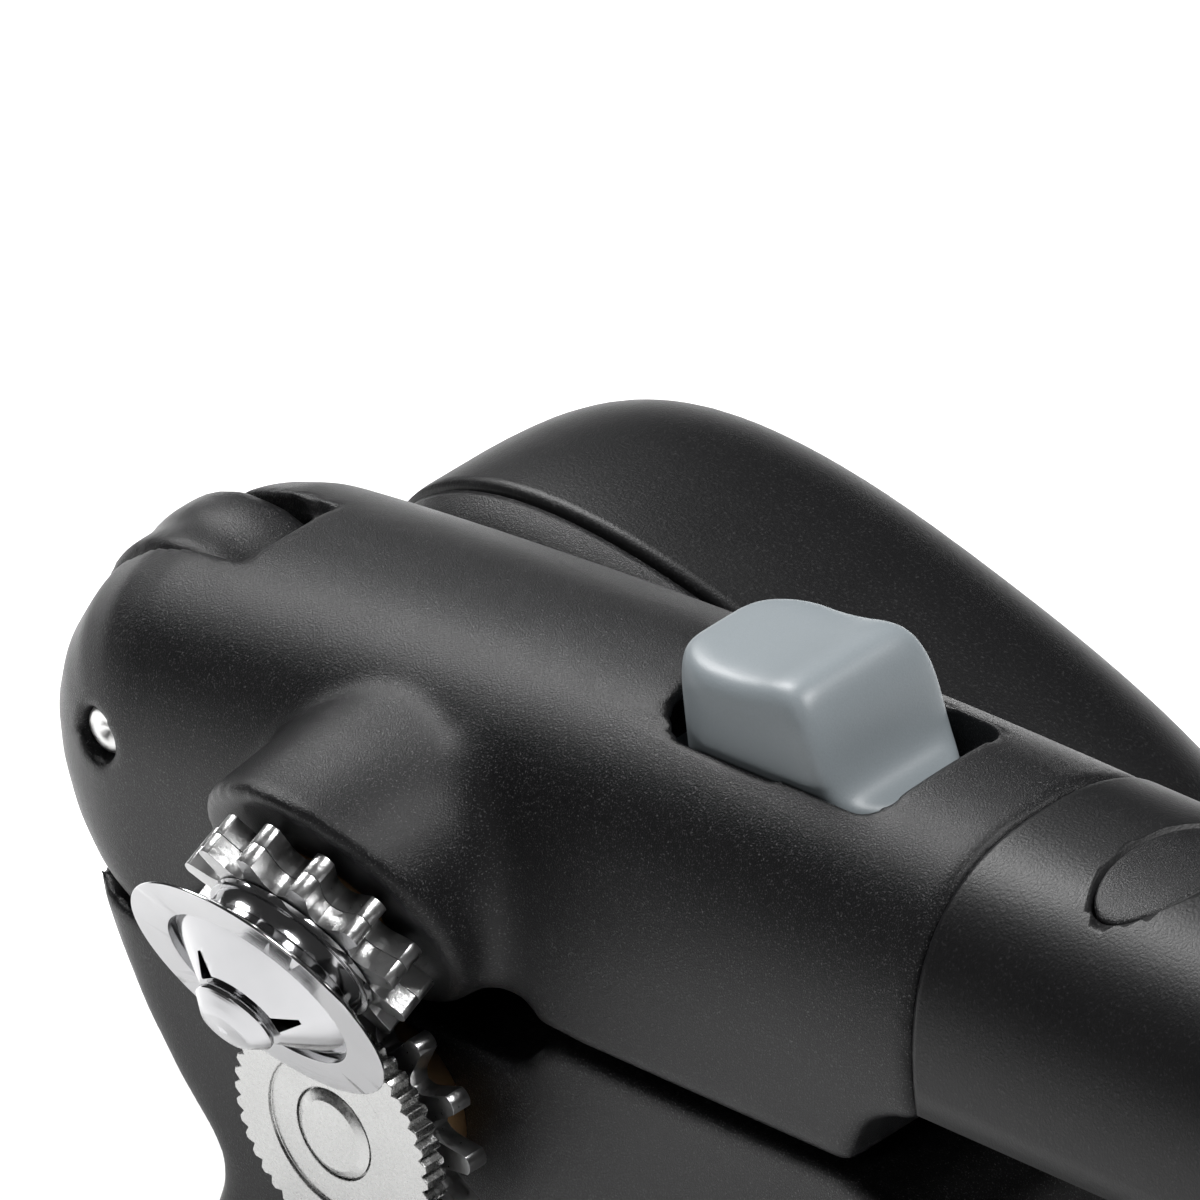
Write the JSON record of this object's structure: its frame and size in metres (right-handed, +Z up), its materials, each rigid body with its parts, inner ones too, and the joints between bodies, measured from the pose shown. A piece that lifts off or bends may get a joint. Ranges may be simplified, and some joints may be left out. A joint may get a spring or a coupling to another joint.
{
  "type": "side-cut can opener",
  "caption": "Hand-cranked side-cut can opener: hinged soft-grip handles, serrated feed wheel, tilted cutting wheel, turning knob and thumb release.",
  "frame": {"origin": "on the surface the opener rests on, under the middle of its bounding box", "axes": "+X from the hinged nose towards the handle ends, +Y from the cutting wheel towards the turning knob, +Z up from the lower handle to the release button"},
  "size_m": [0.2012, 0.0774, 0.0672],
  "materials": {
    "mirror_steel": "mirror polished",
    "satin_steel": "satin",
    "zinc_steel": "zinc plated, sheared edges",
    "dark_spring_steel": "blackened",
    "spring_steel": "drawn wire",
    "sintered_bronze": "oiled sintered bronze",
    "black_plastic": "spark-eroded texture",
    "black_rubber": "fine leather texture",
    "grey_plastic": "satin"
  },
  "bodies": {
    "lower_body": {"lower_housing": "black_plastic", "lower_grip": "black_rubber", "drive_bush_near": "sintered_bronze", "drive_bush_far": "sintered_bronze", "base_cover": "black_plastic", "base_screws": "zinc_steel", "latch_catch": "satin_steel", "opening_spring": "spring_steel"},
    "upper_body": {"upper_housing": "black_plastic", "upper_grip": "black_rubber", "grip_badge": "black_plastic", "hinge_pin": "satin_steel", "cutter_bush": "sintered_bronze", "cutter_plate": "zinc_steel", "cutter_screws": "zinc_steel", "button_spring": "spring_steel"},
    "release_button": {"release_button": "grey_plastic", "latch_slider": "grey_plastic"},
    "drive": {"feed_wheel": "satin_steel", "feed_spacer": "dark_spring_steel", "drive_gear": "zinc_steel", "drive_shaft": "satin_steel", "drive_clip": "dark_spring_steel", "knob_core": "black_plastic", "knob_shell": "black_rubber", "knob_screw": "zinc_steel", "knob_cap": "black_plastic"},
    "cutter": {"cutter_wheel": "mirror_steel", "star_spring": "mirror_steel", "cutter_shaft": "mirror_steel", "cutter_gear_front": "zinc_steel", "cutter_gear_rear": "zinc_steel", "cutter_washer": "zinc_steel", "cutter_clip": "dark_spring_steel"}
  },
  "joints": [
    {"name": "handle_hinge", "type": "hinge", "parent": "lower_body", "child": "upper_body", "pos_m": [-0.08963, -0.00741, 0.0455], "axis": [0, -1, 0], "range_deg": [0, 18], "deforming": ["opening_spring"]},
    {"name": "button_slide", "type": "slide", "parent": "upper_body", "child": "release_button", "axis": [1, 0, 0], "range_m": [0, 0.004], "stiffness_N_per_m": 400, "springref_m": -0.001, "deforming": ["button_spring"]},
    {"name": "drive_spin", "type": "hinge", "parent": "lower_body", "child": "drive", "pos_m": [-0.06163, -0.02911, 0.027], "axis": [0, 1, 0], "continuous": true},
    {"name": "cutter_spin", "type": "hinge", "parent": "upper_body", "child": "cutter", "pos_m": [-0.06163, -0.03419, 0.0416], "axis": [0, 0.91, 0.4147], "continuous": true}
  ],
  "couplings": [
    {"joint": "cutter_spin", "follows": "drive_spin", "ratio": -1.1667}
  ]
}
